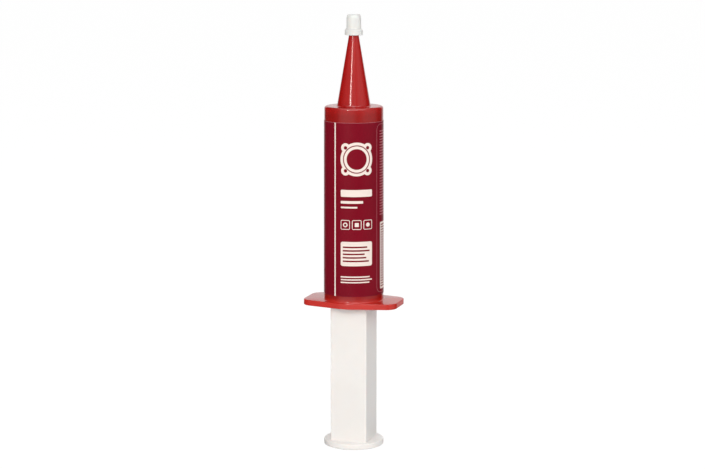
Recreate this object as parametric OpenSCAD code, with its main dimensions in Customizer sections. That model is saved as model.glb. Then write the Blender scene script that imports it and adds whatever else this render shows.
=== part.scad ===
// Gasket sealant syringe: a one-piece barrel with a tapered nozzle and a finger flange,
// a wrapped label, a push-on nozzle cap, and a square plunger whose snap head carries
// a wiping piston behind the charge of sealant.
// It stands on its thumb disc. +Z runs up the axis to the nozzle, and the finger
// flange is longest along X. Millimetres.

/* [Barrel] */
// Inner diameter of the tube
bore_d = 29.6; // [27:0.1:32]
// Tube wall next to the finger flange
wall_rear = 1.4; // [1.2:0.1:2]
// Tube wall under the shoulder, thinner by the mould's draft
wall_front = 1.1; // [0.9:0.1:1.2]
// Length of the tube, from the flange's rear face to the shoulder
tube_len = 108.6; // [104:0.1:130]
// Thickness of the wall that closes the tube under the nozzle
end_wall = 2; // [1.4:0.1:3]
// Rounding of the shoulder's outer edge
shoulder_round = 1.3; // [0.4:0.1:1.3]

/* [Nozzle] */
// Diameter of the nozzle where it leaves the shoulder
nozzle_base_d = 18.1; // [16:0.1:20]
// Diameter of the nozzle at its tip
nozzle_tip_d = 2.6; // [2.4:0.1:3.2]
// Length of the nozzle
nozzle_len = 45.7; // [40:0.1:52]
// Wall of the nozzle at its base
nozzle_wall = 1.5; // [1.2:0.1:2]
// Diameter of the outlet
outlet_d = 1.2; // [1:0.1:1.6]
// Straight length of the outlet behind the tip
outlet_len = 5; // [3:0.5:8]
// Fillet between the nozzle and the shoulder
nozzle_fillet = 0.8; // [0.3:0.1:1.2]

/* [Finger flange] */
// Length of the flange, end to end
flange_len = 52.6; // [50:0.1:60]
// Width of the flange at its ends
flange_w = 25; // [20:0.1:26]
// Thickness of the flange
flange_t = 3.1; // [2:0.1:3.5]
// Radius of the four corners
flange_corner = 6.1; // [3:0.1:8]
// Rim of the flange in front of the tube
flange_rim = 1; // [0.8:0.1:2]
// Fillet between the flange and the tube
flange_fillet = 0.8; // [0.3:0.1:1.2]
// Bevel at the mouth of the bore
mouth_bevel = 0.5; // [0.2:0.1:0.8]

/* [Label] */
// Height of the label
label_h = 94; // [80:0.5:96]
// From the flange's front face to the label's lower edge
label_gap = 3.8; // [2:0.1:6]
// Thickness of the film
label_t = 0.12; // [0.1:0.01:0.2]
// Air between the film and the tube
label_air = 0.02; // [0.01:0.01:0.05]
// Width of the strip where the film's ends overlap, as an angle
label_overlap = 14; // [8:1:30]
// Direction of the outer end of the film, counted from +X
label_seam = -135; // [-180:1:180]

/* [Sealant] */
// Length of the charge ahead of the piston
charge_len = 74; // [60:0.5:80]
// Clearance kept around the charge
charge_gap = 0.1; // [0.05:0.01:0.2]

/* [Piston] */
// Length of the piston
piston_len = 14; // [12:0.5:16]
// Running clearance of the wiping lips in the bore
piston_gap = 0.05; // [0.03:0.01:0.09]
// Depth of the waist behind the lips
piston_waist = 0.9; // [0.6:0.1:1.2]
// Width of each wiping lip
piston_lip = 2.2; // [1.6:0.1:3]
// Wall of the piston's skirt
piston_wall = 1.3; // [1:0.1:1.6]
// Thickness of the piston's front wall
piston_front_wall = 2; // [1.4:0.1:2.6]
// Depth of the throat that the plunger's head snaps through
throat_len = 2.5; // [1.5:0.1:3.5]
// Wall around the socket of the plunger's head
socket_wall = 1.6; // [1.2:0.1:2]

/* [Plunger] */
// Diameter of the thumb disc
disc_d = 32.7; // [30:0.1:38]
// Thickness of the thumb disc
disc_t = 3.2; // [2.4:0.1:4.2]
// Rounding of the disc's rim
disc_round = 0.7; // [0.3:0.1:1.1]
// Clearance between the rod's corners and the bore
rod_gap = 0.65; // [0.3:0.05:0.8]
// Rounding of the rod's corners
rod_corner = 0.6; // [0.4:0.1:1.2]
// Wall of the hollow rod
rod_wall = 1.6; // [1.3:0.1:2]
// Thickness of the plate that closes the rod's front end
rod_plate = 2; // [1.5:0.1:3]
// Gap left between the disc and the flange when the piston is home
home_gap = 0.9; // [0.5:0.1:3]
// Diameter of the snap head
head_d = 10.4; // [9.4:0.1:11]
// Height of the snap head
head_h = 4; // [3:0.1:5]
// Diameter of the neck behind the head
neck_d = 8.2; // [7:0.1:9]
// Clearance of the head and the neck in the piston
head_gap = 0.3; // [0.2:0.05:0.4]
// Gap between the rod's plate and the piston
seat_gap = 0.1; // [0.05:0.01:0.2]

/* [Nozzle cap] */
// Length of the cap
cap_len = 11; // [9:0.1:13]
// Diameter of the collar at the cap's mouth
collar_d = 9.7; // [9.4:0.1:11]
// Height of the collar
collar_h = 2.7; // [2.5:0.1:4]
// Height of the flare between the collar and the grip
flare_h = 0.8; // [0.4:0.1:1.4]
// Diameter of the grip above the flare
grip_d = 8; // [7.8:0.1:9]
// Diameter of the grip under the top bevel
grip_top_d = 7.7; // [7.2:0.1:7.8]
// Height of the top bevel
cap_bevel_h = 1.5; // [0.5:0.1:1.5]
// Width of the top bevel
cap_bevel_w = 0.5; // [0.2:0.1:0.8]
// Thickness of the cap's top
cap_top = 2.9; // [1.8:0.1:3]
// Wall of the collar around its recess
collar_wall = 1.05; // [0.8:0.05:1.3]
// Depth of the recess inside the collar
recess_h = 2; // [1.5:0.1:3]
// Clearance between the cap's seat and the nozzle
cap_gap = 0.06; // [0.03:0.01:0.1]
// Gap between the nozzle's tip and the cap's top
tip_gap = 0.3; // [0.1:0.05:0.5]
// Length of the sealing pin that enters the outlet
pin_len = 2; // [1:0.1:3]
// Clearance of the sealing pin in the outlet
pin_gap = 0.1; // [0.05:0.01:0.15]

/* [Hidden] */
$fn = 96;
// How far a cutter runs past the face that it opens
over = 1;
// Steps in a quarter turn of a small rounding
arc_steps = 6;

// Radii of the tube
bore_r = bore_d / 2;
rear_r = bore_r + wall_rear;
front_r = bore_r + wall_front;
// Heights up the axis
flange_z = disc_t + charge_len + home_gap;
flange_top = flange_z + flange_t;
shoulder_z = flange_z + tube_len;
chamber_end = shoulder_z - end_wall;
tip_z = shoulder_z + nozzle_len;
piston_front = chamber_end - charge_len;
piston_rear = piston_front - piston_len;
cap_top_z = tip_z + tip_gap + cap_top;
cap_mouth_z = cap_top_z - cap_len;
// Slope of the tube's and the nozzle's outer faces
tube_slope = (rear_r - front_r) / (shoulder_z - flange_top);
nozzle_slope = (nozzle_base_d - nozzle_tip_d) / 2 / nozzle_len;
// The hollow square rod, whose corners run in the bore
rod_half = (bore_r - rod_gap - rod_corner) / sqrt(2) + rod_corner;
core_half = rod_half - rod_wall;
rod_front = piston_rear - seat_gap;
// The socket of the snap head
throat_r = neck_d / 2 + head_gap;
socket_r = head_d / 2 + head_gap;
socket_outer_r = socket_r + socket_wall;
lip_r = bore_r - piston_gap;
waist_r = lip_r - piston_waist;

// Outer radius of the tube at height z
function tube_r(z) = rear_r - (z - flange_top) * tube_slope;
// Outer radius of the nozzle at height z
function nozzle_r(z) = nozzle_tip_d / 2 + (tip_z - z) * nozzle_slope;
// Points of an arc about [x, y] from angle a to angle b
function arc(x, y, r, a, b, steps = arc_steps) =
    [for (i = [0:steps]) [x + r * cos(a + (b - a) * i / steps), y + r * sin(a + (b - a) * i / steps)]];

// Outline of half the barrel's outside, from the bore's mouth up to the nozzle's tip
module barrel_outside() {
    lean = atan(nozzle_slope);
    base_r = nozzle_r(shoulder_z + nozzle_fillet * (1 - sin(lean)));
    fillet_x = base_r + nozzle_fillet * cos(lean);
    polygon(concat(
        [[0, flange_z], [rear_r, flange_z], [rear_r + flange_fillet, flange_top]],
        arc(rear_r + flange_fillet, flange_top + flange_fillet, flange_fillet, 270, 180),
        [[tube_r(shoulder_z - shoulder_round), shoulder_z - shoulder_round]],
        arc(tube_r(shoulder_z) - shoulder_round, shoulder_z - shoulder_round, shoulder_round, 0, 90),
        arc(fillet_x, shoulder_z + nozzle_fillet, nozzle_fillet, 270, 180 + lean),
        [[nozzle_tip_d / 2, tip_z], [0, tip_z]]
    ));
}

// Outline of half the space inside: the bevelled mouth, the bore, the nozzle's taper and the outlet
module barrel_inside() {
    passage_r = nozzle_base_d / 2 - nozzle_wall;
    outlet_z = tip_z - outlet_len;
    polygon([
        [0, flange_z - over],
        [bore_r + mouth_bevel, flange_z - over],
        [bore_r + mouth_bevel, flange_z],
        [bore_r, flange_z + mouth_bevel],
        [bore_r, chamber_end],
        [passage_r, chamber_end],
        [outlet_d / 2, outlet_z],
        [outlet_d / 2, tip_z + over],
        [0, tip_z + over]
    ]);
}

// Plan of the finger flange: a round rim about the tube, run out by straight
// tangents into two broad ends with rounded corners
module flange_plan() {
    rim_r = rear_r + flange_rim;
    corner = [flange_len / 2 - flange_corner, flange_w / 2 - flange_corner];
    tangent = atan2(corner[1], corner[0]) + acos((rim_r - flange_corner) / norm(corner));
    way = [cos(tangent), sin(tangent)];
    circle(r = rim_r);
    for (x = [-1, 1]) {
        for (y = [-1, 1]) {
            translate([x * corner[0], y * corner[1]]) circle(r = flange_corner);
            polygon([
                [0, 0],
                [x * flange_len / 2, 0],
                [x * flange_len / 2, y * corner[1]],
                [x * (corner[0] + flange_corner * way[0]), y * (corner[1] + flange_corner * way[1])],
                [x * rim_r * way[0], y * rim_r * way[1]]
            ]);
        }
    }
}

module barrel() {
    color([0.72, 0.09, 0.08])
    difference() {
        union() {
            rotate_extrude() barrel_outside();
            translate([0, 0, flange_z]) linear_extrude(flange_t) flange_plan();
        }
        rotate_extrude() barrel_inside();
    }
}

// Section of the label's film between two heights, lifted off the tube by the given distance
module film(lift, thick) {
    low = flange_top + label_gap;
    high = low + label_h;
    polygon([
        [tube_r(low) + lift, low],
        [tube_r(low) + lift + thick, low],
        [tube_r(high) + lift + thick, high],
        [tube_r(high) + lift, high]
    ]);
}

module label() {
    color([0.47, 0.04, 0.12]) {
        rotate_extrude() film(label_air, label_t);
        // The end that laps over the start
        rotate([0, 0, label_seam - label_overlap])
            rotate_extrude(angle = label_overlap) film(label_air + label_t / 2, label_t * 1.5);
    }
}

module sealant() {
    color([0.75, 0.2, 0.3])
    translate([0, 0, piston_front + charge_gap])
        cylinder(r = bore_r - charge_gap, h = charge_len - 2 * charge_gap);
}

// The piston: a flat front wall, a skirt with a wiping lip at each end, and a socket
// for the plunger's head, open to the rear
module piston() {
    front = piston_front;
    rear = piston_rear;
    skirt_r = waist_r - piston_wall;
    ceiling = front - piston_front_wall;
    color([0.93, 0.93, 0.9])
    rotate_extrude() {
        difference() {
            polygon([
                [0, rear],
                [lip_r - piston_waist / 2, rear],
                [lip_r, rear + piston_waist / 2],
                [lip_r, rear + piston_lip],
                [waist_r, rear + piston_lip + piston_waist],
                [waist_r, front - piston_lip - piston_waist],
                [lip_r, front - piston_lip],
                [lip_r, front],
                [0, front]
            ]);
            // The ring of air between the skirt and the socket
            translate([socket_outer_r, rear - over])
                square([skirt_r - socket_outer_r, ceiling - rear + over]);
            // The socket and its narrower throat
            translate([0, rear + throat_len])
                square([socket_r, ceiling - rear - throat_len]);
            translate([0, rear - over])
                square([throat_r, throat_len + 2 * over]);
        }
    }
}

// A square of the given half width with round corners
module round_square(half, corner) {
    side = half - corner;
    square([2 * half, 2 * side], center = true);
    square([2 * side, 2 * half], center = true);
    for (x = [-side, side]) {
        for (y = [-side, side]) {
            translate([x, y]) circle(r = corner);
        }
    }
}

// The plunger: the thumb disc, the hollow square rod and the snap head, moulded in one
module plunger() {
    neck_z = piston_rear + throat_len + head_gap;
    rim_x = disc_d / 2 - disc_round;
    color([0.95, 0.94, 0.92])
    difference() {
        union() {
            rotate_extrude() polygon(concat(
                [[0, 0]],
                arc(rim_x, disc_round, disc_round, 270, 360),
                arc(rim_x, disc_t - disc_round, disc_round, 0, 90),
                [[0, disc_t]]
            ));
            linear_extrude(rod_front) round_square(rod_half, rod_corner);
            translate([0, 0, rod_front - rod_plate / 2])
                cylinder(d = neck_d, h = neck_z - rod_front + rod_plate / 2 + head_h / 2);
            translate([0, 0, neck_z])
                cylinder(d1 = head_d, d2 = neck_d, h = head_h);
        }
        // The core of the rod, open through the thumb disc
        translate([-core_half, -core_half, -over])
            cube([2 * core_half, 2 * core_half, rod_front - rod_plate + over]);
    }
}

// The cap: a bevelled grip over a wider collar, a tapered seat that grips the nozzle,
// and a pin that stops the outlet
module nozzle_cap() {
    collar_z = cap_mouth_z + collar_h;
    recess_z = cap_mouth_z + recess_h;
    seat_end = tip_z + tip_gap;
    color([0.92, 0.93, 0.92, 0.8])
    rotate_extrude() {
        difference() {
            polygon([
                [0, cap_mouth_z],
                [collar_d / 2, cap_mouth_z],
                [collar_d / 2, collar_z],
                [grip_d / 2, collar_z + flare_h],
                [grip_top_d / 2, cap_top_z - cap_bevel_h],
                [grip_top_d / 2 - cap_bevel_w, cap_top_z],
                [0, cap_top_z]
            ]);
            translate([0, cap_mouth_z - over])
                square([collar_d / 2 - collar_wall, recess_h + over]);
            polygon([
                [0, recess_z - over],
                [nozzle_r(recess_z - over) + cap_gap, recess_z - over],
                [nozzle_r(tip_z) + cap_gap, tip_z],
                [nozzle_r(tip_z) + cap_gap, seat_end],
                [0, seat_end]
            ]);
        }
        translate([0, tip_z - pin_len])
            square([outlet_d / 2 - pin_gap, pin_len + tip_gap + cap_top / 2]);
    }
}

barrel();
label();
sealant();
piston();
plunger();
nozzle_cap();
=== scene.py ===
"""Looks of a gasket sealant syringe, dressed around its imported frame.

The syringe stands on its thumb disc. +Z runs up to the nozzle, and the finger flange is longest along
X. Sizes are written in millimetres and become metres when a mesh is made. Every piece is a surface of
two parameters: a profile with rounded corners is carried round the axis, and the distance of a corner
from the axis may itself be a function of the angle, as on the finger flange and the square rod.
"""
import logging
import math
from dataclasses import dataclass
from enum import Enum
from typing import Callable, Optional, Sequence, Union

import bpy
import numpy as np
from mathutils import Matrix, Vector


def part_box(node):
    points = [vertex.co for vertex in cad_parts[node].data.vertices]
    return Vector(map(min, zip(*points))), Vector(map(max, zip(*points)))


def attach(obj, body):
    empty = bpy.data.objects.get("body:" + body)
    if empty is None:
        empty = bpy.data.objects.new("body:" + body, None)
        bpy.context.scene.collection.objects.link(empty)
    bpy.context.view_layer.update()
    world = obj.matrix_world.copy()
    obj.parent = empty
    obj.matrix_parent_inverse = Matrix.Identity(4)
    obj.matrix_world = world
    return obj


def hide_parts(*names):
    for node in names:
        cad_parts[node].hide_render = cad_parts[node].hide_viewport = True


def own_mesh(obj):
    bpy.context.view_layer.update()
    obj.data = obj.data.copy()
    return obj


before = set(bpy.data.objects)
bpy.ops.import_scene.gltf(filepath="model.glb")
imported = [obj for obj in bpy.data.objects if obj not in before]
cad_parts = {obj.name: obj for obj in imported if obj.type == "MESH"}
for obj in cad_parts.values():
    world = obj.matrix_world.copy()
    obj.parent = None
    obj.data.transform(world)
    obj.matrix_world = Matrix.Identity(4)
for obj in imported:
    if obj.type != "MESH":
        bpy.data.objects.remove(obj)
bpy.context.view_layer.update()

MM = 0.001
LOG = logging.getLogger("syringe")
DIAGONALS = np.radians([45, 135, 225, 315])
Colour = tuple[float, float, float]
Socket = bpy.types.NodeSocket
Value = Union[float, Sequence[float], Socket]
Inputs = dict[Union[int, str], Value]
Radius = Union[float, np.ndarray]
Corner = tuple[Radius, float, float]


class Ends(Enum):
    """How the first and the last ring of a surface are closed."""

    LOOP = "joined to each other"
    POLES = "each drawn into one point on the axis"


class Ink(Enum):
    """Inks of the label's print, light and dark, and the thin rule's paler one, which also paints a
    highlight along the film's top edge.
    """

    CREAM = "cream"
    FIELD = "field"
    RULE = "rule"


class Mark(Enum):
    """Simple shapes that the label's print is made of."""

    BAR = "filled rounded rectangle"
    FRAME = "outline of a rounded rectangle"
    RING = "ring, or a dot where its radius is 0"
    ROWS = "plain stripes with ragged ends inside a rounded rectangle"


# Numbers and surfaces


def linear(red: int, green: int, blue: int) -> Colour:
    """Turns a colour in display steps into linear light.

    Args:
        red: Red, 0 to 255.
        green: Green, 0 to 255.
        blue: Blue, 0 to 255.

    Returns:
        The same colour in linear light, 0 to 1.
    """
    steps = np.array([red, green, blue], float) / 255
    bright = ((steps + 0.055) / 1.055) ** 2.4
    return tuple(np.where(steps <= 0.04045, steps / 12.92, bright).tolist())


def reach(node: str) -> tuple[np.ndarray, np.ndarray]:
    """Gives the lowest and the highest corner of a node of the frame, in millimetres."""
    low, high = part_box(node)
    return np.array(low) / MM, np.array(high) / MM


def around(columns: int) -> np.ndarray:
    """Gives that many even angles round the axis, counted from +X, in radians."""
    return np.linspace(0, 2 * np.pi, columns, endpoint=False)


def rounded(corners: Sequence[Corner], columns: int, ends: Ends, steps: int = 6) -> np.ndarray:
    """Rounds the corners of a profile, at every angle at once.

    Let a and b be unit vectors from a corner to its neighbours, with the angle 2h between them. The arc
    of radius r has its centre r / sin h away along a + b, and it leaves the sides r / tan h away. Its
    points are the spherical mix of its two end radii, which turn by 180 degrees less 2h.

    Args:
        corners: Distance from the axis, a number or one for each angle, then height, then rounding.
        columns: How many angles there are.
        ends: LOOP joins the last corner to the first. With POLES, the two end corners stay sharp.
        steps: Spans of each arc.

    Returns:
        Array of rings by columns by 2, which holds distance from the axis and height. Each arc has a
        guard ring just outside both its ends, so that the straight runs keep their own normals.
    """
    place = np.empty((len(corners), columns, 2))
    for row, (radius, height, _) in enumerate(corners):
        place[row, :, 0] = radius
        place[row, :, 1] = height
    runs = []
    for row, (_, _, radius) in enumerate(corners):
        here = place[row]
        if radius == 0 or (ends is Ends.POLES and row in (0, len(corners) - 1)):
            runs.append([here])
            continue
        back = place[row - 1] - here
        ahead = place[(row + 1) % len(corners)] - here
        back /= np.linalg.norm(back, axis=1, keepdims=True)
        ahead /= np.linalg.norm(ahead, axis=1, keepdims=True)
        half = np.arccos(np.clip((back * ahead).sum(1, keepdims=True), -1, 1)) / 2
        middle = (back + ahead) / np.linalg.norm(back + ahead, axis=1, keepdims=True)
        centre = here + middle * radius / np.sin(half)
        first = here + back * radius / np.tan(half) - centre
        last = here + ahead * radius / np.tan(half) - centre
        turn = np.pi - 2 * half
        arc = []
        for share in np.linspace(0, 1, steps + 1):
            mix = np.sin((1 - share) * turn) * first + np.sin(share * turn) * last
            arc.append(centre + mix / np.sin(turn))
        runs.append(arc)
    return guarded(runs, ends)


def guarded(runs: Sequence[Sequence[np.ndarray]], ends: Ends, guard: float = 0.12) -> np.ndarray:
    """Joins arcs and single corners, with a guard ring beside each end of an arc.

    A smooth vertex takes the mean of the normals about it, so without the guard a long straight run
    next to an arc would be shaded as if it leaned.

    Args:
        runs: Rings of each arc, or the one ring of a sharp corner, in order.
        ends: With LOOP, the last run leads back to the first.
        guard: Distance of a guard ring from the arc, in millimetres.

    Returns:
        All the rings in order.
    """
    rings: list[np.ndarray] = []
    for row, run in enumerate(runs):
        rings += run
        if ends is Ends.POLES and row == len(runs) - 1:
            break
        after = runs[(row + 1) % len(runs)]
        gap = after[0] - run[-1]
        length = np.linalg.norm(gap, axis=1, keepdims=True)
        if length.min() < 4 * guard:
            continue
        if len(run) > 1:
            rings.append(run[-1] + gap * guard / length)
        if len(after) > 1:
            rings.append(after[0] - gap * guard / length)
    return np.array(rings)


def turned(profile: np.ndarray, angles: np.ndarray) -> np.ndarray:
    """Carries a profile round the axis: x = r cos(angle), y = r sin(angle), z = height."""
    radius, height = profile[..., 0], profile[..., 1]
    return np.stack([radius * np.cos(angles), radius * np.sin(angles), height], axis=-1)


def round_square(angles: np.ndarray, half: float, corner: float) -> np.ndarray:
    """Gives a square's distance from its centre at each angle, with round corners.

    With the angle t folded to the first quadrant, the side is at half / max(cos t, sin t). Where that
    falls past the side's end, the distance is the far root of the corner's circle, k + sqrt(k k + r r
    - c c), whose centre lies c from the axis and k = the centre's reach along the angle.

    Args:
        angles: Angles from +X, in radians.
        half: Half the square's width.
        corner: Radius of its corners.

    Returns:
        One distance for each angle.
    """
    wide = np.maximum(np.abs(np.cos(angles)), np.abs(np.sin(angles)))
    narrow = np.minimum(np.abs(np.cos(angles)), np.abs(np.sin(angles)))
    side = half - corner
    along = side * (wide + narrow)
    arc = along + np.sqrt(np.maximum(along ** 2 + corner ** 2 - 2 * side ** 2, 0))
    return np.where(half * narrow <= side * wide, half / wide, arc)


def skin(name: str, rings: np.ndarray, ends: Ends, chart: Optional[np.ndarray] = None,
         crease: float = 40) -> bpy.types.Object:
    """Makes a closed mesh from rings of points.

    Columns j and j + 1 of rings i and i + 1 make one face, and the last column joins the first. With
    POLES, the two end rings are one point each. All faces are turned over if the sum of v0 . (v1 x v2)
    over the triangles, which is six times the volume inside, is negative.

    Args:
        name: The object's name.
        rings: Array of rings by columns by 3, in millimetres.
        ends: How the first and last rings are closed.
        chart: The surface's own coordinates, for LOOP only: rings by columns + 1 by 2.
        crease: Edges that turn by more degrees than this are sharp.

    Returns:
        The object, at the origin, with its place in its mesh.
    """
    count, columns = rings.shape[:2]
    index = np.arange(count * columns).reshape(count, columns)
    if ends is Ends.LOOP:
        low, high = index, np.roll(index, -1, axis=0)
        fans = np.empty((0, 3), int)
    else:
        low, high = index[1:-2], index[2:-1]
        first, last = index[1], index[-2]
        fans = np.concatenate([
            np.stack([np.zeros(columns, int), np.roll(first, -1), first], axis=1),
            np.stack([np.full(columns, index[-1, 0]), last, np.roll(last, -1)], axis=1),
        ])
    quads = np.stack([low, np.roll(low, -1, axis=1), np.roll(high, -1, axis=1), high], axis=-1)
    quads = quads.reshape(-1, 4)
    points = rings.reshape(-1, 3) * MM
    parts = np.concatenate([quads[:, [0, 1, 2]], quads[:, [0, 2, 3]], fans])
    volume = (points[parts[:, 0]] * np.cross(points[parts[:, 1]], points[parts[:, 2]])).sum()
    if volume < 0:
        quads, fans = quads[:, ::-1], fans[:, ::-1]
    used = np.unique(np.concatenate([quads.ravel(), fans.ravel()]))
    renumber = np.zeros(len(points), int)
    renumber[used] = np.arange(len(used))
    mesh = bpy.data.meshes.new(name)
    mesh.from_pydata(points[used].tolist(), [], renumber[quads].tolist() + renumber[fans].tolist())
    if chart is not None:
        above = np.roll(chart, -1, axis=0)
        corners = np.stack([chart[:, :-1], chart[:, 1:], above[:, 1:], above[:, :-1]], axis=2)
        if volume < 0:
            corners = corners[:, :, ::-1]
        mesh.uv_layers.new(name="Wrap").data.foreach_set("uv", corners.ravel())
    mesh.shade_smooth()
    mesh.set_sharp_from_angle(angle=math.radians(crease))
    piece = bpy.data.objects.new(name, mesh)
    bpy.context.scene.collection.objects.link(piece)
    return piece


# Materials


class Graph:
    """A node tree that is written as sums of its nodes."""

    def __init__(self, tree: bpy.types.NodeTree) -> None:
        """Works on that tree."""
        self.tree = tree

    def node(self, kind: str, inputs: Optional[Inputs] = None, **settings: object) -> bpy.types.Node:
        """Adds a node.

        Args:
            kind: The node's type, without its ShaderNode prefix.
            inputs: Values or sockets for its inputs, by name or place.
            settings: The node's own properties.

        Returns:
            The new node.
        """
        made = self.tree.nodes.new("ShaderNode" + kind)
        for key, value in settings.items():
            setattr(made, key, value)
        self.fill(made, inputs or {})
        return made

    def fill(self, node: bpy.types.Node, inputs: Inputs) -> None:
        """Feeds a node's inputs, which are given by name or place."""
        for key, value in inputs.items():
            self.feed(node.inputs[key], value)

    def feed(self, socket: Socket, value: Value) -> None:
        """Links a socket to an input, or writes a value on it.

        Args:
            socket: The input.
            value: The socket to link, or a number, a vector or a colour.
        """
        if isinstance(value, Socket):
            self.tree.links.new(value, socket)
        elif socket.type == "RGBA":
            socket.default_value = (*value, 1)
        else:
            socket.default_value = value

    def math(self, operation: str, *values: Value, clamp: bool = False) -> Socket:
        """Adds a Math node and gives its result."""
        made = self.node("Math", dict(enumerate(values)), operation=operation, use_clamp=clamp)
        return made.outputs[0]

    def vector(self, operation: str, *values: Value) -> Socket:
        """Adds a Vector Math node and gives its result, a number for LENGTH and DOT_PRODUCT."""
        made = self.node("VectorMath", dict(enumerate(values)), operation=operation)
        return made.outputs["Value" if operation in ("LENGTH", "DOT_PRODUCT") else "Vector"]

    def span(self, value: Value, start: float, end: float, low: float = 0, high: float = 1) -> Socket:
        """Turns a value from start to end into one from low to high, with soft ends."""
        given = {"Value": value, "From Min": start, "From Max": end, "To Min": low, "To Max": high}
        return self.node("MapRange", given, interpolation_type="SMOOTHSTEP").outputs["Result"]

    def blend(self, mask: Value, under: Value, over: Value) -> Socket:
        """Mixes two colours: under (1 - mask) + over mask.

        Args:
            mask: Share of the second colour, 0 to 1.
            under: The first colour.
            over: The second colour.

        Returns:
            The mixed colour.
        """
        made = self.node("Mix", data_type="RGBA")
        self.fill(made, {0: mask, 6: under, 7: over})
        return made.outputs[2]

    def mottled(self, mask: Value, colour: Colour, amount: float) -> Socket:
        """Mottles a colour, from colour (1 - amount) to colour (1 + amount), at most 1.

        Args:
            mask: The mottling, 0 to 1.
            colour: The colour in its middle.
            amount: Share by which it gets darker and paler.

        Returns:
            The mottled colour.
        """
        dark = tuple(channel * (1 - amount) for channel in colour)
        pale = tuple(min(channel * (1 + amount), 1) for channel in colour)
        return self.blend(mask, dark, pale)

    def rays(self) -> tuple[Socket, Socket]:
        """Tells apart the kinds of ray that reach a surface.

        Returns:
            Two masks: rays seen by the camera, straight or through a piece, and glossy rays.
        """
        path = self.node("LightPath").outputs
        seen = self.math("ADD", path["Is Camera Ray"], path["Is Transmission Ray"], clamp=True)
        return seen, path["Is Glossy Ray"]

    def group(self, tree: bpy.types.NodeTree, **inputs: Value) -> bpy.types.Node:
        """Places a node group.

        Args:
            tree: The group.
            inputs: Values or sockets, named by the group's inputs with an underline for a space.

        Returns:
            The group's node.
        """
        made = self.node("Group", node_tree=tree)
        self.fill(made, {key.replace("_", " "): value for key, value in inputs.items()})
        return made


def shared(name: str, inputs: dict[str, str], outputs: Sequence[str],
           build: Callable[[Graph, dict[str, Socket]], dict[str, Socket]]) -> bpy.types.NodeTree:
    """Makes a node group once, and gives the same one after that.

    Args:
        name: The group's name.
        inputs: Kind of each input by its name, Float or Vector.
        outputs: Names of the outputs, which are numbers.
        build: Makes the nodes between them.

    Returns:
        The group.
    """
    known = bpy.data.node_groups.get(name)
    if known:
        return known
    tree = bpy.data.node_groups.new(name, "ShaderNodeTree")
    for label, kind in inputs.items():
        tree.interface.new_socket(label, in_out="INPUT", socket_type="NodeSocket" + kind)
    for label in outputs:
        tree.interface.new_socket(label, in_out="OUTPUT", socket_type="NodeSocketFloat")
    entry = tree.nodes.new("NodeGroupInput")
    leave = tree.nodes.new("NodeGroupOutput")
    made = build(Graph(tree), {socket.name: socket for socket in entry.outputs})
    for label, socket in made.items():
        tree.links.new(socket, leave.inputs[label])
    return tree


def moulded_skin() -> bpy.types.NodeTree:
    """Makes the group for a moulded surface: fine grain, slow unevenness and mottling.

    Returns:
        The group, with Height for a bump and Mottle, which runs from 0 to 1.
    """
    roughness, darkest, palest = 0.55, 0.3, 0.7

    def build(graph: Graph, given: dict[str, Socket]) -> dict[str, Socket]:
        """Makes its nodes: the height is slow noise + share x fine noise, the mottling a third noise.

        Args:
            graph: The group's tree.
            given: Its inputs by name.

        Returns:
            Its outputs by name.
        """
        def noise(scale: Value, detail: float) -> Socket:
            """Gives a noise of that scale."""
            return graph.node("TexNoise", {"Vector": given["Vector"], "Scale": scale, "Detail": detail,
                                           "Roughness": roughness}).outputs["Fac"]
        fine = noise(given["Grain"], 2)
        slow = noise(given["Waves"], 1)
        height = graph.math("MULTIPLY_ADD", fine, given["Grain Share"], slow)
        return {"Height": height, "Mottle": graph.span(noise(given["Patches"], 3), darkest, palest)}

    return shared("moulded_skin", {"Vector": "Vector", "Grain": "Float", "Waves": "Float",
                                   "Patches": "Float", "Grain Share": "Float"},
                  ("Height", "Mottle"), build)


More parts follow.
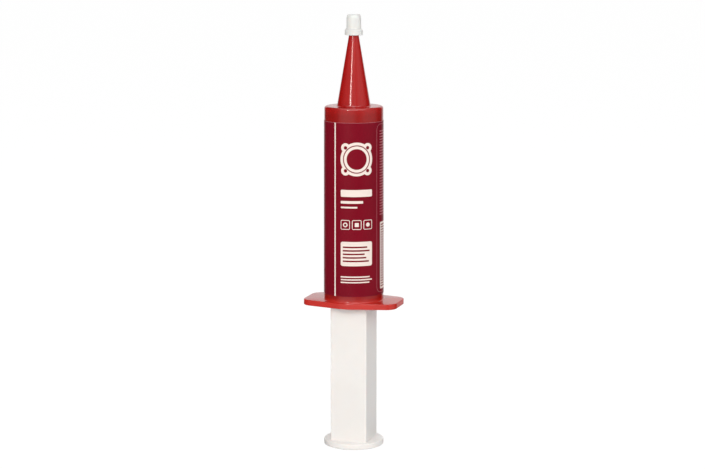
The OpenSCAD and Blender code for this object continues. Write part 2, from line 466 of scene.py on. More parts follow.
def print_mark(mark: Mark) -> bpy.types.NodeTree:
    """Gives the group that masks one kind of printed shape, in millimetres on the label.

    With p the place, c the shape's centre, h its half size and r its rounding, a rounded rectangle
    holds the points where the length of max(|p - c| - h + r, 0) is below r. A ring holds those where
    ||p - c| - radius| is below its half width. Stripes hold the lower part of each pitch, as far as a
    random share of the half size, from shortest to 1.

    Args:
        mark: The kind of shape.

    Returns:
        The group, whose Mask is 1 on the ink.
    """
    edge = 0.05
    stripe_full, stripe_end, shortest = 0.4, 0.5, 0.55

    def inside(graph: Graph, given: dict[str, Socket], shrink: Value) -> Socket:
        """Masks the rounded rectangle, or a smaller one inside it.

        Args:
            graph: The group's tree.
            given: Its inputs by name.
            shrink: How much smaller it is on every side, in millimetres.

        Returns:
            The mask, 1 inside.
        """
        away = graph.vector("ABSOLUTE", graph.vector("SUBTRACT", given["Vector"], given["Centre"]))
        # Smaller by the same on every side, the rectangle keeps the core that its corners turn about
        turn = given["Rounding"]
        core = graph.vector("SUBTRACT", given["Half"],
                            graph.node("CombineXYZ", {"X": turn, "Y": turn, "Z": turn}).outputs[0])
        past = graph.vector("MAXIMUM", graph.vector("SUBTRACT", away, core), (0, 0, 0))
        less = graph.math("SUBTRACT", turn, shrink)
        distance = graph.math("SUBTRACT", graph.vector("LENGTH", past), less)
        return graph.span(distance, edge, -edge)

    def build(graph: Graph, given: dict[str, Socket]) -> dict[str, Socket]:
        """Makes its nodes: a ring, or a rounded rectangle that is whole, hollow or striped.

        Args:
            graph: The group's tree.
            given: Its inputs by name.

        Returns:
            Its output by name.
        """
        if mark is Mark.RING:
            away = graph.vector("LENGTH", graph.vector("SUBTRACT", given["Vector"], given["Centre"]))
            band = graph.math("ABSOLUTE", graph.math("SUBTRACT", away, given["Radius"]))
            return {"Mask": graph.span(graph.math("SUBTRACT", band, given["Line"]), edge, -edge)}
        whole = inside(graph, given, 0.0)
        if mark is Mark.BAR:
            return {"Mask": whole}
        if mark is Mark.FRAME:
            hollow = inside(graph, given, given["Line"])
            return {"Mask": graph.math("SUBTRACT", whole, hollow, clamp=True)}
        up = graph.node("SeparateXYZ", {0: given["Vector"]}).outputs["Y"]
        rows = graph.math("DIVIDE", up, given["Line"])
        stripe = graph.span(graph.math("FRACT", rows), stripe_full, stripe_end, 1, 0)
        chance = graph.node("TexWhiteNoise", {"W": graph.math("FLOOR", rows)},
                            noise_dimensions="1D").outputs["Value"]
        offset = graph.vector("SUBTRACT", given["Vector"], given["Centre"])
        share = graph.vector("DIVIDE", offset, given["Half"])
        across = graph.node("SeparateXYZ", {0: share}).outputs["X"]
        ragged = graph.math("LESS_THAN", across, graph.span(chance, 0.0, 1.0, shortest, 1.0))
        return {"Mask": graph.math("MULTIPLY", whole, graph.math("MULTIPLY", stripe, ragged))}

    inputs = {"Vector": "Vector", "Centre": "Vector", "Half": "Vector", "Rounding": "Float",
              "Radius": "Float", "Line": "Float"}
    return shared("print_" + mark.name.lower(), inputs, ("Mask",), build)


@dataclass(frozen=True)
class PaintedLightBand:
    """A colour that takes over down a piece, between two heights in millimetres, as painted light or
    painted shade.
    """

    top: float
    bottom: float
    colour: Colour


@dataclass(frozen=True)
class Plastic:
    """Moulded plastic with a fine grain, slight waves and mottled pigment.

    Scales are waves in a metre, and depth is the bump's height in metres.
    """

    name: str
    colour: Colour
    roughness: float = 0.35
    spread: float = 0.05
    mottle: float = 0.04
    grain: float = 2600
    waves: float = 160
    patches: float = 45
    grain_share: float = 0.25
    depth: float = 0.00006
    specular: float = 0.5
    subsurface: float = 0.0
    scatter: float = 0.001
    transmission: float = 0.0
    scatter_way: Colour = (1.0, 0.8, 0.7)
    lower: tuple[PaintedLightBand, ...] = ()

    def tinted(self, graph: Graph, place: Socket, mottle: Socket) -> Socket:
        """Mottles the colour, which turns into that of each lower band of painted light or painted shade
        in turn.

        Args:
            graph: The material's tree.
            place: Object coordinates.
            mottle: The mottling, 0 to 1.

        Returns:
            The colour.
        """
        tint = graph.mottled(mottle, self.colour, self.mottle)
        for painted_band in self.lower:
            height = graph.node("SeparateXYZ", {0: place}).outputs["Z"]
            # Each band paints light or shade into the colour, from its top height down
            below = graph.span(height, painted_band.top * MM, painted_band.bottom * MM)
            tint = graph.blend(below, tint, graph.mottled(mottle, painted_band.colour, self.mottle))
        return tint

    def material(self) -> bpy.types.Material:
        """Builds the material.

        Returns:
            The material, with a value or a link on each input that it sets.
        """
        made = bpy.data.materials.new(self.name)
        made.use_nodes = True
        graph = Graph(made.node_tree)
        shader = made.node_tree.nodes["Principled BSDF"]
        place = graph.node("TexCoord").outputs["Object"]
        skin_node = graph.group(moulded_skin(), Vector=place, Grain=self.grain, Waves=self.waves,
                                Patches=self.patches, Grain_Share=self.grain_share)
        mottle = skin_node.outputs["Mottle"]
        bump = graph.node("Bump", {"Strength": 1.0, "Distance": self.depth,
                                   "Height": skin_node.outputs["Height"]})
        smoothest, roughest = self.roughness - self.spread, self.roughness + self.spread
        graph.fill(shader, {
            "Base Color": self.tinted(graph, place, mottle),
            "Roughness": graph.span(mottle, 0, 1, smoothest, roughest),
            "Normal": bump.outputs["Normal"],
            "Specular IOR Level": self.specular,
            "Subsurface Weight": self.subsurface,
            "Subsurface Scale": self.scatter,
            "Transmission Weight": self.transmission,
        })
        if self.subsurface:
            shader.inputs["Subsurface Radius"].default_value = self.scatter_way
        return made


@dataclass(frozen=True)
class Shape:
    """One printed shape, in millimetres on the unrolled label.

    The place is counted from the middle of the front panel, to the right as the label is read, and up
    from its lower edge. Line is half the width of a ring's or a frame's line, and the pitch of stripes.
    """

    mark: Mark
    ink: Ink
    centre: tuple[float, float]
    half: tuple[float, float] = (0, 0)
    rounding: float = 0.12
    radius: float = 0
    line: float = 0


@dataclass(frozen=True)
class PrintedFilm:
    """Glossy printed film. Its pattern lies on the piece's own Wrap coordinates, from 0 to 1.

    Around and height are its lengths in millimetres. Middle is the front panel's place on the way round.
    Deep is the third half size of every shape, any length above their rounding.
    """

    name: str
    colours: dict[Ink, Colour]
    shapes: tuple[Shape, ...]
    around: float
    height: float
    middle: float
    roughness: float = 0.3
    spread: float = 0.03
    ink_rough: float = 0.1
    mottle: float = 0.05
    grain: float = 900
    waves: float = 55
    patches: float = 30
    grain_share: float = 0.08
    depth: float = 0.00008
    specular: float = 0.1
    deep: float = 9

    def material(self) -> bpy.types.Material:
        """Builds the material: the shapes are laid over the field in their order.

        Returns:
            The material, whose pattern reads the Wrap coordinates.
        """
        made = bpy.data.materials.new(self.name)
        made.use_nodes = True
        graph = Graph(made.node_tree)
        shader = made.node_tree.nodes["Principled BSDF"]
        wrap = graph.node("UVMap", uv_map="Wrap").outputs["UV"]
        place = graph.node("VectorMath", {0: wrap, 1: (self.around, self.height, 0),
                                          2: (-self.middle * self.around, 0, 0)},
                           operation="MULTIPLY_ADD").outputs["Vector"]
        surface = graph.group(moulded_skin(), Vector=graph.node("TexCoord").outputs["Object"],
                              Grain=self.grain, Waves=self.waves, Patches=self.patches,
                              Grain_Share=self.grain_share)
        mottle = surface.outputs["Mottle"]
        colour = graph.mottled(mottle, self.colours[Ink.FIELD], self.mottle)
        inked: Value = 0.0
        for shape in self.shapes:
            mask = graph.group(
                print_mark(shape.mark), Vector=place, Centre=(*shape.centre, 0),
                Half=(*shape.half, self.deep), Rounding=shape.rounding, Radius=shape.radius,
                Line=shape.line,
            ).outputs["Mask"]
            colour = graph.blend(mask, colour, self.colours[shape.ink])
            if shape.ink is Ink.CREAM:
                inked = graph.math("MAXIMUM", inked, mask)
        bump = graph.node("Bump", {"Strength": 1.0, "Distance": self.depth,
                                   "Height": surface.outputs["Height"]})
        rough = graph.span(mottle, 0, 1, self.roughness - self.spread, self.roughness + self.spread)
        graph.fill(shader, {
            "Base Color": colour,
            "Roughness": graph.math("MULTIPLY_ADD", inked, self.ink_rough, rough),
            "Normal": bump.outputs["Normal"],
            "Specular IOR Level": self.specular,
        })
        return made


Finish = Union[Plastic, PrintedFilm]

# Painted shade, darker where gel behind the wall stops light shining through, and painted light, paler
# at the thin flange
RED_PAINTED_LIGHT_BANDS = (PaintedLightBand(186.4, 181.8, (0.29, 0.0058, 0.005)), PaintedLightBand(84.2, 80.8, (0.53, 0.024, 0.016)))
RED_PLASTIC = Plastic("red_polyethylene", (0.385, 0.0075, 0.0065), roughness=0.15, spread=0.02,
                      mottle=0.05, grain_share=0.04, depth=0.000012, lower=RED_PAINTED_LIGHT_BANDS)
WHITE_PLASTIC = Plastic("white_plunger_plastic", (0.838, 0.814, 0.793), roughness=0.42, mottle=0.015,
                        waves=90, subsurface=0.4, scatter=0.0015)
CAP_PLASTIC = Plastic("translucent_cap_plastic", (0.83, 0.83, 0.81), roughness=0.4, mottle=0.015,
                      depth=0.00002, specular=0.35, transmission=0.12, subsurface=0.3)
PISTON_PLASTIC = Plastic("natural_piston_plastic", (0.82, 0.81, 0.76), roughness=0.4, mottle=0.02,
                         subsurface=0.2)
GEL = Plastic("red_sealant_gel", (0.5, 0.02, 0.05), roughness=0.12, mottle=0.06, waves=40,
              grain_share=0.05, depth=0.0002)


# The syringe's pieces


@dataclass
class Piece:
    """One piece of the syringe, which stands for the node of the same name."""

    node: str
    body: str
    slot: str
    finish: Finish

    def surface(self) -> bpy.types.Object:
        """Makes the piece's mesh."""
        raise NotImplementedError

    def build(self) -> bpy.types.Object:
        """Makes the piece, dresses it and sets it on its body.

        Returns:
            The piece's object.
        """
        piece = self.surface()
        piece.data.materials.append(self.finish.material())
        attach(piece, self.body)
        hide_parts(self.node)
        LOG.info("%s: %d faces, rides on %s", piece.name, len(piece.data.polygons), self.body)
        return piece


@dataclass
class Barrel(Piece):
    """The tube, shoulder, tapered nozzle and finger flange, moulded in one."""

    bore: float = 14.8
    wall_rear: float = 1.4
    wall_front: float = 1.1
    flange_thick: float = 3.1
    flange_wide: float = 25
    flange_corner: float = 6.1
    flange_edge: float = 0.4
    mouth_bevel: float = 0.5
    fillet: float = 0.8
    shoulder_round: float = 1.3
    nozzle_long: float = 45.7
    nozzle_base: float = 9.05
    nozzle_tip: float = 1.3
    nozzle_wall: float = 1.5
    end_wall: float = 2
    outlet: float = 0.6
    outlet_long: float = 5
    columns: int = 360

    def flange(self, angles: np.ndarray, half: float, rim: float) -> np.ndarray:
        """Gives the flange outline's distance from the axis at each angle.

        Folded to the first quadrant, the outline runs along the end edge at half / cos t, round the
        corner's circle (the far root of its equation), along the tangent that the corner shares with
        the rim about the tube, at rim / cos(t - tangent), and then round that rim.

        Args:
            angles: Angles from +X, in radians.
            half: Half the flange's length.
            rim: Radius of the round rim.

        Returns:
            One distance for each angle.
        """
        cos, sin = np.abs(np.cos(angles)), np.abs(np.sin(angles))
        turn = np.arctan2(sin, cos)
        x, y = half - self.flange_corner, self.flange_wide / 2 - self.flange_corner
        away = math.hypot(x, y)
        tangent = math.atan2(y, x) + math.acos((rim - self.flange_corner) / away)
        leave = math.atan2(y + self.flange_corner * math.sin(tangent),
                           x + self.flange_corner * math.cos(tangent))
        along = x * cos + y * sin
        arc = along + np.sqrt(np.maximum(along ** 2 + self.flange_corner ** 2 - away ** 2, 0))
        line = rim / np.cos(turn - tangent)
        regions = [turn <= math.atan2(y, half), turn <= leave, turn <= tangent]
        return np.select(regions, [half / np.maximum(cos, 1e-6), arc, line], rim)

    def surface(self) -> bpy.types.Object:
        """Makes the barrel: one profile outside and inside, whose two flange corners follow its plan.

        Returns:
            The barrel's object.
        """
        low, high = reach(self.node)
        angles = around(self.columns)
        edge = self.flange(angles, high[0], high[1])
        rear, top = low[2], low[2] + self.flange_thick
        shoulder = high[2] - self.nozzle_long
        chamber = shoulder - self.end_wall
        corners = [
            (self.bore + self.mouth_bevel, rear, 0.15),
            (edge, rear, self.flange_edge),
            (edge, top, self.flange_edge),
            (self.bore + self.wall_rear, top, self.fillet),
            (self.bore + self.wall_front, shoulder, self.shoulder_round),
            (self.nozzle_base, shoulder, self.fillet),
            (self.nozzle_tip, high[2], 0.25),
            (self.outlet, high[2], 0.1),
            (self.outlet, high[2] - self.outlet_long, 0),
            (self.nozzle_base - self.nozzle_wall, chamber, 0.4),
            (self.bore, chamber, 0.5),
            (self.bore, rear + self.mouth_bevel, 0.15),
        ]
        rings = turned(rounded(corners, self.columns, Ends.LOOP), angles)
        return skin("barrel_moulding", rings, Ends.LOOP)


@dataclass
class LabelFilm(Piece):
    """The film wrapped round the tube, with the end that laps over its start.

    The cut edge is twice cut_half wide, and no other column lies within cut_clear, in radians.
    """

    thick: float = 0.12
    taper: float = 0.267
    lap_end: float = -45
    lap: float = 14
    lap_slope: float = 2.5
    cut_half: float = 0.001
    cut_clear: float = 0.01
    columns: int = 240

    def surface(self) -> bpy.types.Object:
        """Makes the film: inner and outer face of a thin tube, the outer one raised over the lap.

        The raise climbs as a smooth step, s s (3 - 2 s), over the hidden start of the film, and it ends
        in an upright cut edge at the film's outer end. Angles count from the front, -Y, towards +X.

        Returns:
            The film's object, with its Wrap coordinates.
        """
        low, high = reach(self.node)
        end = math.radians(self.lap_end)
        even = np.linspace(-np.pi, np.pi, self.columns + 1)[:-1]
        cut = np.array([end - self.cut_half, end + self.cut_half])
        front = np.sort(np.concatenate([even[np.abs(even - end) > self.cut_clear], cut]))
        start = end - math.radians(self.lap)
        climb = np.clip((front - start) / math.radians(self.lap_slope), 0, 1)
        raised = np.where(front < end, climb * climb * (3 - 2 * climb), 0) * self.thick
        outer = high[0] + raised
        corners = [
            (outer - self.thick - raised, low[2], 0),
            (outer, low[2], 0),
            (outer - self.taper, high[2], 0),
            (outer - self.taper - self.thick - raised, high[2], 0),
        ]
        rings = turned(rounded(corners, len(front), Ends.LOOP), front - np.pi / 2)
        across = np.append((front + np.pi) / (2 * np.pi), 1)
        up = np.array([0, 0, 1, 1])
        chart = np.stack(np.broadcast_arrays(across[None, :], up[:, None]), axis=-1)
        return skin("label_film", rings, Ends.LOOP, chart)


@dataclass
class Plunger(Piece):
    """Thumb disc, hollow square rod, neck and snap head, moulded in one.

    Across each corner of the square lie close_count angles, as far as close_span degrees either way,
    and the even angles keep close_clear degrees away.
    """

    disc_thick: float = 3.2
    disc_round: float = 0.7
    rod_half: float = 10.181
    rod_corner: float = 0.6
    core_half: float = 8.581
    core_corner: float = 0.5
    rod_front: float = 96.6
    plate: float = 2
    neck: float = 4.1
    head: float = 5.2
    head_tall: float = 4
    fillet: float = 0.5
    close_span: float = 3.2
    close_clear: float = 3.6
    close_count: int = 15
    columns: int = 176

    def angles(self) -> np.ndarray:
        """Gives the angles: even ones, and close ones across each of the square's corners.

        Returns:
            The angles from +X in radians, rising.
        """
        even = around(self.columns)
        close = np.radians(np.linspace(-self.close_span, self.close_span, self.close_count))
        apart = np.abs(even[:, None] - DIAGONALS).min(axis=1)
        kept = even[apart > math.radians(self.close_clear)]
        return np.sort(np.concatenate([kept, (DIAGONALS[:, None] + close).ravel()]))

    def surface(self) -> bpy.types.Object:
        """Makes the plunger: one profile from the core's ceiling round the disc and up to its head.

        Returns:
            The plunger's object.
        """
        low, high = reach(self.node)
        angles = self.angles()
        core = round_square(angles, self.core_half, self.core_corner)
        rod = round_square(angles, self.rod_half, self.rod_corner)
        ceiling = self.rod_front - self.plate
        neck_top = high[2] - self.head_tall
        corners = [
            (0, ceiling, 0),
            (core, ceiling, 0.4),
            (core, low[2], 0.3),
            (high[0], low[2], self.disc_round),
            (high[0], low[2] + self.disc_thick, self.disc_round),
            (rod, low[2] + self.disc_thick, self.fillet),
            (rod, self.rod_front, 0.3),
            (self.neck, self.rod_front, 0),
            (self.neck, neck_top, 0),
            (self.head, neck_top, 0.2),
            (self.neck, high[2], 0.3),
            (0, high[2], 0),
        ]
        rings = turned(rounded(corners, len(angles), Ends.POLES), angles)
        return skin("plunger_moulding", rings, Ends.POLES)


@dataclass
class Piston(Piece):
    """The wiping follower, with a lip at each end of its skirt and the socket for the snap head."""

    waist: float = 0.9
    lip: float = 2.2
    wall: float = 1.3
    front_wall: float = 2
    throat: float = 4.4
    throat_long: float = 2.5
    socket: float = 5.5
    socket_wall: float = 1.6
    columns: int = 144

    def surface(self) -> bpy.types.Object:
        """Makes the piston: one profile from the middle of its face round to its socket's ceiling.

        Returns:
            The piston's object.
        """
        low, high = reach(self.node)
        rim, rear, front = high[0], low[2], high[2]
        slim = rim - self.waist
        ceiling = front - self.front_wall
        shell = self.socket + self.socket_wall
        corners = [
            (0, front, 0),
            (rim, front, 0.2),
            (rim, front - self.lip, 0.1),
            (slim, front - self.lip - self.waist, 0.2),
            (slim, rear + self.lip + self.waist, 0.2),
            (rim, rear + self.lip, 0.1),
            (rim, rear + self.waist / 2, 0.1),
            (rim - self.waist / 2, rear, 0.1),
            (slim - self.wall, rear, 0.15),
            (slim - self.wall, ceiling, 0.3),
            (shell, ceiling, 0.3),
            (shell, rear, 0.15),
            (self.throat, rear, 0.15),
            (self.throat, rear + self.throat_long, 0.1),
            (self.socket, rear + self.throat_long, 0.2),
            (self.socket, ceiling, 0.3),
            (0, ceiling, 0),
        ]
        angles = around(self.columns)
        rings = turned(rounded(corners, self.columns, Ends.POLES, steps=4), angles)
        return skin("piston_moulding", rings, Ends.POLES)


@dataclass
class Charge(Piece):
    """The charge of gel, which lies ahead of the piston."""

    joint: str = "plunger_slide"
    chamber_end: float = 184.7
    keep: float = 0.0067
    edge: float = 0.5
    columns: int = 120

    def surface(self) -> bpy.types.Object:
        """Makes the charge: a closed round plug with soft edges.

        Returns:
            The charge's object.
        """
        low, high = reach(self.node)
        corners = [
            (0, low[2], 0),
            (high[0], low[2], self.edge),
            (high[0], high[2], self.edge),
            (0, high[2], 0),
        ]
        rings = turned(rounded(corners, self.columns, Ends.POLES), around(self.columns))
        return skin("sealant_charge", rings, Ends.POLES)

    def build(self) -> bpy.types.Object:
        """Makes the charge and gives it a mesh of its own.

        Returns:
            The charge's object.
        """
        piece = super().build()
        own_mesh(piece)
        return piece


@dataclass
class NozzleCap(Piece):
    """The translucent cap: bevelled grip, wider collar, tapered seat and sealing pin."""

    tip: float = 232.4
    nozzle_tip: float = 1.3
    nozzle_slope: float = 0.16958
    collar_tall: float = 2.7
    flare: float = 0.8
    grip: float = 4.0
    grip_top: float = 3.85
    bevel_tall: float = 1.5
    bevel_wide: float = 0.5
    collar_wall: float = 1.05
    recess: float = 2.0
    seat_gap: float = 0.06
    tip_gap: float = 0.3
    pin: float = 0.5
    pin_long: float = 2
    columns: int = 144

    def surface(self) -> bpy.types.Object:
        """Makes the cap: one profile from the middle of its top down, in, and up to its pin's end.

        Returns:
            The cap's object.
        """
        low, high = reach(self.node)
        mouth, top, collar = low[2], high[2], high[0]
        inner = mouth + self.recess
        seat = self.nozzle_tip + self.seat_gap
        corners = [
            (0, top, 0),
            (self.grip_top - self.bevel_wide, top, 0.3),
            (self.grip_top, top - self.bevel_tall, 0.5),
            (self.grip, mouth + self.collar_tall + self.flare, 0.4),
            (collar, mouth + self.collar_tall, 0.3),
            (collar, mouth, 0.3),
            (collar - self.collar_wall, mouth, 0.2),
            (collar - self.collar_wall, inner, 0.2),
            (seat + (self.tip - inner) * self.nozzle_slope, inner, 0.1),
            (seat, self.tip, 0),
            (seat, self.tip + self.tip_gap, 0),
            (self.pin, self.tip + self.tip_gap, 0),
            (self.pin, self.tip - self.pin_long, 0.1),
            (0, self.tip - self.pin_long, 0),
        ]
        rings = turned(rounded(corners, self.columns, Ends.POLES), around(self.columns))
        return skin("cap_moulding", rings, Ends.POLES)


# The label's print


def label_print() -> tuple[Shape, ...]:
    """Lays out the print: rules, a gasket with its bolt holes, heading bars, pictograms and rows, and a
    painted highlight along the film's top edge.

    Returns:
        The shapes, in the order in which they lie on each other.
    """
    cream, dark, rule = Ink.CREAM, Ink.FIELD, Ink.RULE
    gasket, ring, bolt_circle = (0.9, 74.5), 7.3, 8.7
    shapes = [
        Shape(Mark.FRAME, rule, (28.4, 47), (15.1, 45.8), rounding=3.5, line=0.28),
        Shape(Mark.BAR, cream, (-11.6, 47), (0.42, 47)),
        # The thin pale line along the film's top edge is a painted highlight, where the edge catches
        # light
        Shape(Mark.BAR, rule, (0, 93.9), (60, 0.1), rounding=0.1),
    ]
    lugs = [(gasket[0] + bolt_circle * math.cos(angle), gasket[1] + bolt_circle * math.sin(angle))
            for angle in DIAGONALS]
    shapes += [Shape(Mark.RING, cream, lug, line=2.5) for lug in lugs]
    shapes += [
        Shape(Mark.RING, cream, gasket, radius=ring, line=1.75),
        Shape(Mark.RING, dark, gasket, radius=ring, line=0.28),
    ]
    shapes += [Shape(Mark.RING, dark, lug, line=0.95) for lug in lugs]
    shapes += [
        Shape(Mark.BAR, cream, (0.9, 56.2), (8.9, 1.9), rounding=0.6),
        Shape(Mark.BAR, cream, (-1.8, 51.4), (6.2, 0.7), rounding=0.3),
        Shape(Mark.BAR, cream, (-3.4, 48.6), (4.6, 0.45), rounding=0.3),
    ]
    for place in (-5.4, 0.9, 7.2):
        shapes.append(Shape(Mark.FRAME, cream, (place, 39.2), (2.6, 2.6), rounding=0.8, line=0.36))
    shapes += [
        Shape(Mark.RING, cream, (-5.4, 39.2), radius=1.0, line=0.28),
        Shape(Mark.BAR, cream, (0.9, 39.2), (1.1, 1.1), rounding=0.3),
        Shape(Mark.RING, cream, (7.2, 39.2), line=1.1),
        Shape(Mark.BAR, cream, (0.9, 23.4), (8.9, 6.6), rounding=1.1),
        Shape(Mark.ROWS, dark, (0.9, 23.4), (7.7, 4.9), line=1.9),
        Shape(Mark.ROWS, cream, (0.9, 9.4), (8.9, 2.5), line=1.5),
        Shape(Mark.ROWS, rule, (28.4, 66.4), (12.2, 23.1), line=1.5),
        Shape(Mark.BAR, cream, (28.4, 21.3), (11.8, 18.3), rounding=0.6),
        Shape(Mark.ROWS, dark, (28.4, 21.3), (11.1, 17.4), line=1.4),
        Shape(Mark.ROWS, rule, (-38, 50), (9, 36.6), line=1.7),
    ]
    return tuple(shapes)


def film_finish(radius: float, height: float) -> PrintedFilm:
    """Makes the label's finish, whose girth is 2 pi radius.

    Args:
        radius: The film's outer radius, in millimetres.
        height: Its height, in millimetres.

    Returns:
        The finish.
    """
    inks = {
        Ink.FIELD: (0.19, 0.0022, 0.0125),
        Ink.CREAM: linear(236, 222, 214),
        Ink.RULE: (0.42, 0.13, 0.15),
    }
    girth = 2 * math.pi * radius
    return PrintedFilm("printed_film", inks, label_print(), girth, height, middle=0.5546)


# The studio


@dataclass(frozen=True)
class Camera:
    """A pinhole camera without shift, as fitted to the photograph.

    The target lies on the picture's middle, a little left of the axis. Angles are in degrees: azimuth
    from the rod's front face, -Y, towards +X, and pitch below the horizon.
    """

    azimuth: float = 17.2
    pitch: float = 9.24
    distance: float = 1.128
    height: float = 0.11646
    aside: float = -0.000706
    focal_pixels: float = 2076
    width_pixels: float = 705
    sensor: float = 36

    def toward(self, turn: float = 0) -> Vector:
        """Gives the level unit vector from the axis to the camera, turned to the camera's right."""
        angle = math.radians(self.azimuth + turn)
        return Vector((math.sin(angle), -math.cos(angle), 0))

    def build(self) -> None:
        """Makes the camera and makes it the scene's own."""
        right = self.toward(90)
        target = right * self.aside + Vector((0, 0, self.height))
        pitch = math.radians(self.pitch)
        away = self.toward() * math.cos(pitch) + Vector((0, 0, math.sin(pitch)))
        lens = bpy.data.cameras.new("camera")
        lens.sensor_width = self.sensor
        lens.lens = self.focal_pixels / self.width_pixels * self.sensor
        made = bpy.data.objects.new("camera", lens)
        made.location = target + away * self.distance
        made.rotation_euler = (-away).to_track_quat("-Z", "Y").to_euler()
        bpy.context.scene.collection.objects.link(made)
        bpy.context.scene.camera = made


@dataclass(frozen=True)
class SoftBox:
    """A rectangular lamp that faces the syringe.

    Its turn counts in degrees to the right of the camera, and its tint is its light's colour. One that
    isn't mirrored lights the syringe, and the surround shows its soft reflection instead.
    """

    name: str
    turn: float
    distance: float
    height: float
    width: float
    tall: float
    radiance: float
    mirrored: bool = True
    tint: Colour = (1.0, 1.0, 1.0)

    def build(self, camera: Camera, aim: float) -> None:
        """Makes the lamp, whose power is radiance x pi x its area.

        Args:
            camera: The camera that its turn counts from.
            aim: Height on the axis that it points at, in metres.
        """
        lamp = bpy.data.lights.new(self.name, "AREA")
        lamp.shape = "RECTANGLE"
        lamp.size, lamp.size_y = self.width, self.tall
        lamp.energy = self.radiance * math.pi * self.width * self.tall
        lamp.color = self.tint
        made = bpy.data.objects.new(self.name, lamp)
        made.visible_glossy = self.mirrored
        made.location = camera.toward(self.turn) * self.distance + Vector((0, 0, self.height))
        made.rotation_euler = (Vector((0, 0, aim)) - made.location).to_track_quat("-Z", "Y").to_euler()
        bpy.context.scene.collection.objects.link(made)


@dataclass(frozen=True)
class Lobe:
    """A soft upright patch of light, its middle turned to the right of the camera.

    Angles are in degrees. It ends at outer from its middle, and has its full strength within inner.
    """

    turn: float
    outer: float
    inner: float
    strength: float

    def shine(self, graph: Graph, camera: Camera, way: Socket) -> Socket:
        """Gives its brightness.

        Args:
            graph: The tree to add the nodes to.
            camera: The camera that its turn counts from.
            way: Direction from the syringe.

        Returns:
            The brightness that way.
        """
        level = graph.vector("NORMALIZE", graph.vector("MULTIPLY", way, (1, 1, 0)))
        share = graph.vector("DOT_PRODUCT", level, tuple(camera.toward(self.turn)))
        start, end = math.cos(math.radians(self.outer)), math.cos(math.radians(self.inner))
        return graph.span(share, start, end, 0, self.strength)


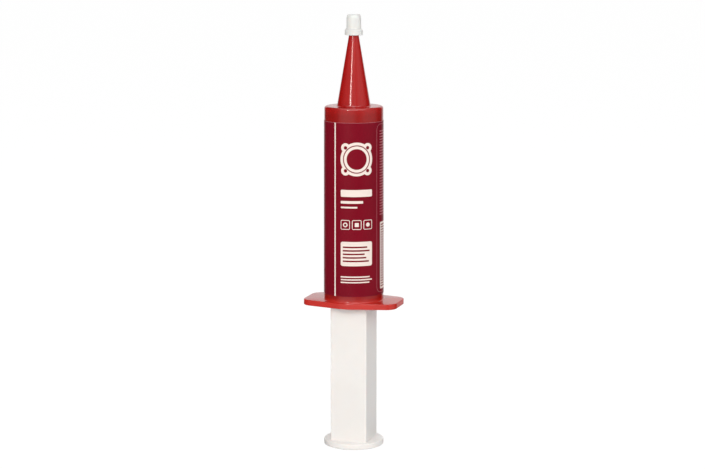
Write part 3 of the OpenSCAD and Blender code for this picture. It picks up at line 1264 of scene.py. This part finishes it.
@dataclass(frozen=True)
class Studio:
    """Pale floor, white surround and soft lamps.

    The light overhead grows with a direction's upward share, over overhead_rise, and the table's near
    glow with the nearness of a place, in metres from the middle, over near_reach.
    """

    camera: Camera = Camera()
    lamps: tuple[SoftBox, ...] = (
        SoftBox("key_softbox", 0, 1.3, 0.95, 0.7, 0.7, 2.8),
        SoftBox("strip_softbox", -24.4, 1.0, 0.5, 0.06, 0.5, 46.8, tint=(1.0, 0.965, 0.91)),
        SoftBox("fill_softbox", 63, 1.2, 0.5, 1.5, 1.0, 1.05, mirrored=False),
        SoftBox("top_softbox", 180, 0.35, 1.1, 1.2, 0.8, 0.7, mirrored=False),
    )
    ambient: float = 0.42
    floor_rings: tuple[float, ...] = (0.05, 0.5, 2, 6, 12)
    floor_thick: float = 0.02
    floor_columns: int = 64
    floor_colour: Colour = (0.8, 0.8, 0.8)
    floor_glow: float = 1.085
    floor_share: float = 0.88
    sweep: Lobe = Lobe(175, 42, 22, 0.95)
    front: Lobe = Lobe(0, 115, 45, 0.4)
    side: Lobe = Lobe(63, 50, 8, 0.3)
    overhead: Lobe = Lobe(0, 80, 45, 2.6)
    overhead_rise: tuple[float, float] = (0.34, 0.6)
    table: Lobe = Lobe(5, 100, 45, 0.3)
    table_left: Lobe = Lobe(-27, 42, 4, 0.6)
    table_right: Lobe = Lobe(66, 45, 6, 0.4)
    table_near: Lobe = Lobe(-5, 65, 30, 0.8)
    near_reach: tuple[float, float] = (0.42, 0.28)

    def surround(self, graph: Graph, way: Socket) -> Socket:
        """Gives how bright the room mirrors: the larger of sweep and front + side, + up x overhead.

        Args:
            graph: The world's tree.
            way: Direction from the syringe.

        Returns:
            The brightness that way.
        """
        sweep, front, side, overhead = (
            lobe.shine(graph, self.camera, way)
            for lobe in (self.sweep, self.front, self.side, self.overhead))
        up = graph.span(graph.vector("DOT_PRODUCT", way, (0, 0, 1)), *self.overhead_rise)
        level = graph.math("MAXIMUM", sweep, graph.math("ADD", front, side))
        return graph.math("ADD", level, graph.math("MULTIPLY", up, overhead))

    def table_sheen(self, graph: Graph, way: Socket) -> Socket:
        """Gives how bright the lit table mirrors, most under the lamps.

        It is the larger of the sweep and the sum of even + close x near + left + right.

        Args:
            graph: The floor's tree.
            way: Place on the floor from its middle.

        Returns:
            The brightness there.
        """
        sweep, even, left, right, near = (
            lobe.shine(graph, self.camera, way)
            for lobe in (self.sweep, self.table, self.table_left, self.table_right, self.table_near))
        close = graph.span(graph.vector("LENGTH", way), *self.near_reach)
        under = graph.math("ADD", even, graph.math("MULTIPLY", close, near))
        lit = graph.math("ADD", under, graph.math("ADD", left, right))
        return graph.math("MAXIMUM", sweep, lit)

    def world(self) -> None:
        """Makes the world: ambient light, white to the camera and the surround to glossy surfaces."""
        made = bpy.data.worlds.new("surround")
        bpy.context.scene.world = made
        made.use_nodes = True
        graph = Graph(made.node_tree)
        seen, glossy = graph.rays()
        mirrored = self.surround(graph, graph.node("TexCoord").outputs["Generated"])
        lit = graph.span(glossy, 0, 1, self.ambient, mirrored)
        background = made.node_tree.nodes["Background"]
        graph.fill(background, {"Color": (1, 1, 1), "Strength": graph.span(seen, 0, 1, lit, 1.0)})

    def floor(self) -> None:
        """Makes the floor: a round sheet, rings by columns, whose finish glows white to the camera."""
        angles = around(self.floor_columns)
        radii = np.array(self.floor_rings) / MM
        under = -self.floor_thick / MM
        corners = [(0, 0, 0), *((radius, 0, 0) for radius in radii)]
        corners += [(radii[-1], under, 0), (0, under, 0)]
        sheet = skin("floor", turned(rounded(corners, len(angles), Ends.POLES), angles), Ends.POLES)
        made = bpy.data.materials.new("pale_floor")
        made.use_nodes = True
        graph = Graph(made.node_tree)
        nodes = made.node_tree.nodes
        nodes.remove(nodes["Principled BSDF"])
        seen, glossy = graph.rays()
        mirrored = self.table_sheen(graph, graph.node("TexCoord").outputs["Object"])
        glow = graph.span(glossy, 0, 1, self.floor_glow, mirrored)
        share = graph.math("MULTIPLY", graph.math("ADD", seen, glossy, clamp=True), self.floor_share)
        pale = graph.node("BsdfDiffuse", {"Color": self.floor_colour})
        white = graph.node("Emission", {"Color": (1, 1, 1), "Strength": glow})
        mixed = graph.node("MixShader", {0: share, 1: pale.outputs[0], 2: white.outputs[0]})
        graph.feed(nodes["Material Output"].inputs["Surface"], mixed.outputs[0])
        sheet.data.materials.append(made)

    def build(self) -> None:
        """Makes the camera, the floor, the world and the lamps."""
        self.camera.build()
        self.floor()
        self.world()
        for lamp in self.lamps:
            lamp.build(self.camera, self.camera.height)
        bpy.context.scene.view_settings.view_transform = "Standard"


def main() -> None:
    """Builds the studio and the syringe's pieces in order."""
    logging.basicConfig(level=logging.INFO, format="%(name)s: %(message)s")
    Studio().build()
    low, high = reach("label")
    film = film_finish(high[0], high[2] - low[2])
    for piece in (
        Barrel("barrel", "barrel", "barrel_plastic", RED_PLASTIC),
        LabelFilm("label", "barrel", "label_film", film),
        Charge("sealant", "barrel", "sealant_gel", GEL),
        Piston("piston", "piston", "piston_plastic", PISTON_PLASTIC),
        Plunger("plunger", "plunger", "plunger_plastic", WHITE_PLASTIC),
        NozzleCap("nozzle_cap", "nozzle_cap", "cap_plastic", CAP_PLASTIC),
    ):
        piece.build()


if __name__ == "__main__":
    main()
